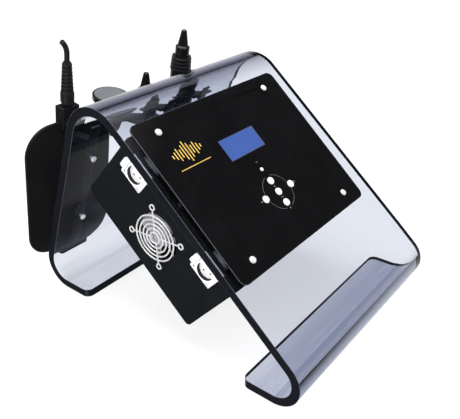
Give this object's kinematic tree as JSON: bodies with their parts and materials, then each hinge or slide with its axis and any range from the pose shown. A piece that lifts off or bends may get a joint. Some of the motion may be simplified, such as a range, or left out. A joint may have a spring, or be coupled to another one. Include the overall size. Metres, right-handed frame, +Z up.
{
  "type": "ultrasound therapy device",
  "caption": "Bench-top ultrasound therapy unit: bent clear acrylic stand, slanted control box with display and buttons, side fan and sockets, applicators held behind.",
  "frame": {"origin": "middle of the floor face of the stand's front lip, on the centre line of the front panel", "axes": "+X to the right as the user sees the panel, +Y towards the back, +Z up"},
  "size_m": [0.311, 0.3985, 0.3063],
  "materials": {
    "acrylic": "clear, gloss",
    "panel_gloss": "gloss",
    "screw_metal": "satin",
    "display_blue": "gloss",
    "module_steel": "satin",
    "board_green": "satin",
    "nylon": "matt",
    "switch_plastic": "matt",
    "led_lens": "gloss",
    "button_white": "satin",
    "box_black": "satin",
    "guard_chrome": "gloss",
    "fan_grey": "satin",
    "fan_screw_black": "satin",
    "insert_plastic": "matt",
    "core_steel": "matt",
    "coil_copper": "satin",
    "aluminium": "satin",
    "inlet_black": "satin",
    "pin_brass": "gloss",
    "rocker_red": "gloss",
    "holder_black": "satin",
    "applicator_black": "gloss",
    "cable_rubber": "matt",
    "contact_steel": "satin",
    "disc_grey": "satin"
  },
  "bodies": {
    "unit": {"acrylic_stand": "acrylic", "front_panel": "panel_gloss", "panel_screws": "screw_metal", "lcd_window": "display_blue", "lcd_module": "module_steel", "display_board": "board_green", "board_spacers": "nylon", "tact_switches": "switch_plastic", "led_indicator": "led_lens", "box_body": "box_black", "box_end_left": "box_black", "box_end_right": "box_black", "clinch_nuts": "screw_metal", "fan_guard": "guard_chrome", "fan_frame": "switch_plastic", "fan_screws": "fan_screw_black", "socket_upper_shell": "guard_chrome", "socket_upper_insert": "insert_plastic", "socket_lower_shell": "guard_chrome", "socket_lower_insert": "insert_plastic", "m3_screws": "screw_metal", "generator_board": "board_green", "board_parts": "switch_plastic", "board_posts": "screw_metal", "transformer_core": "core_steel", "transformer_coil": "coil_copper", "heat_sink": "aluminium", "inlet_body": "inlet_black", "inlet_pins": "pin_brass", "switch_body": "inlet_black", "fuse_holder": "inlet_black", "holder_plate": "holder_black", "holder_disc": "holder_black", "holder_small": "holder_black", "holder_large": "holder_black", "holder_screws": "screw_metal"},
    "key_up": {"button_up": "button_white"},
    "key_down": {"button_down": "button_white"},
    "key_left": {"button_left": "button_white"},
    "key_right": {"button_right": "button_white"},
    "key_ok": {"button_ok": "button_white"},
    "fan_wheel": {"fan_rotor": "fan_grey"},
    "upper_latch": {"socket_upper_latch": "guard_chrome"},
    "lower_latch": {"socket_lower_latch": "guard_chrome"},
    "mains_rocker": {"switch_rocker": "rocker_red"},
    "fuse_plug": {"fuse_cap": "inlet_black"},
    "plate_applicator": {"plate_shell": "applicator_black", "plate_contact": "contact_steel", "plug_block": "applicator_black", "strain_relief": "cable_rubber", "cable": "cable_rubber"},
    "disc_applicator": {"disc_head": "applicator_black", "disc_face": "disc_grey", "disc_handle": "applicator_black"},
    "small_handpiece": {"small_nose": "applicator_black", "small_body": "applicator_black"},
    "large_handpiece": {"large_nose": "applicator_black", "large_ring": "cable_rubber", "large_body": "applicator_black", "large_head": "contact_steel"}
  },
  "joints": [
    {"name": "press_up", "type": "slide", "parent": "unit", "child": "key_up", "axis": [0, 0.6521, -0.7581], "range_m": [0, 0.001], "stiffness_N_per_m": 300},
    {"name": "press_down", "type": "slide", "parent": "unit", "child": "key_down", "axis": [0, 0.6521, -0.7581], "range_m": [0, 0.001], "stiffness_N_per_m": 300},
    {"name": "press_left", "type": "slide", "parent": "unit", "child": "key_left", "axis": [0, 0.6521, -0.7581], "range_m": [0, 0.001], "stiffness_N_per_m": 300},
    {"name": "press_right", "type": "slide", "parent": "unit", "child": "key_right", "axis": [0, 0.6521, -0.7581], "range_m": [0, 0.001], "stiffness_N_per_m": 300},
    {"name": "press_ok", "type": "slide", "parent": "unit", "child": "key_ok", "axis": [0, 0.6521, -0.7581], "range_m": [0, 0.001], "stiffness_N_per_m": 300},
    {"name": "fan_spin", "type": "hinge", "parent": "unit", "child": "fan_wheel", "pos_m": [-0.1266, 0.14142, 0.12733], "axis": [1, 0, 0], "continuous": true},
    {"name": "release_upper", "type": "slide", "parent": "unit", "child": "upper_latch", "axis": [1, 0, 0], "range_m": [0, 0.0012], "stiffness_N_per_m": 400},
    {"name": "release_lower", "type": "slide", "parent": "unit", "child": "lower_latch", "axis": [1, 0, 0], "range_m": [0, 0.0012], "stiffness_N_per_m": 400},
    {"name": "mains_toggle", "type": "hinge", "parent": "unit", "child": "mains_rocker", "pos_m": [0.1251, 0.1322, 0.12256], "axis": [0, 0.6521, -0.7581], "range_deg": [0, 16]},
    {"name": "fuse_pull", "type": "slide", "parent": "unit", "child": "fuse_plug", "axis": [1, 0, 0], "range_m": [0, 0.02]},
    {"name": "lift_plate", "type": "slide", "parent": "unit", "child": "plate_applicator", "axis": [0, -0.165, 0.9863], "range_m": [0, 0.04]},
    {"name": "lift_disc", "type": "slide", "parent": "unit", "child": "disc_applicator", "axis": [0, -0.165, 0.9863], "range_m": [0, 0.1]},
    {"name": "lift_small", "type": "slide", "parent": "unit", "child": "small_handpiece", "axis": [0, -0.165, 0.9863], "range_m": [0, 0.1]},
    {"name": "pull_large", "type": "slide", "parent": "unit", "child": "large_handpiece", "axis": [0, 0.9863, 0.165], "range_m": [0, 0.06]}
  ]
}
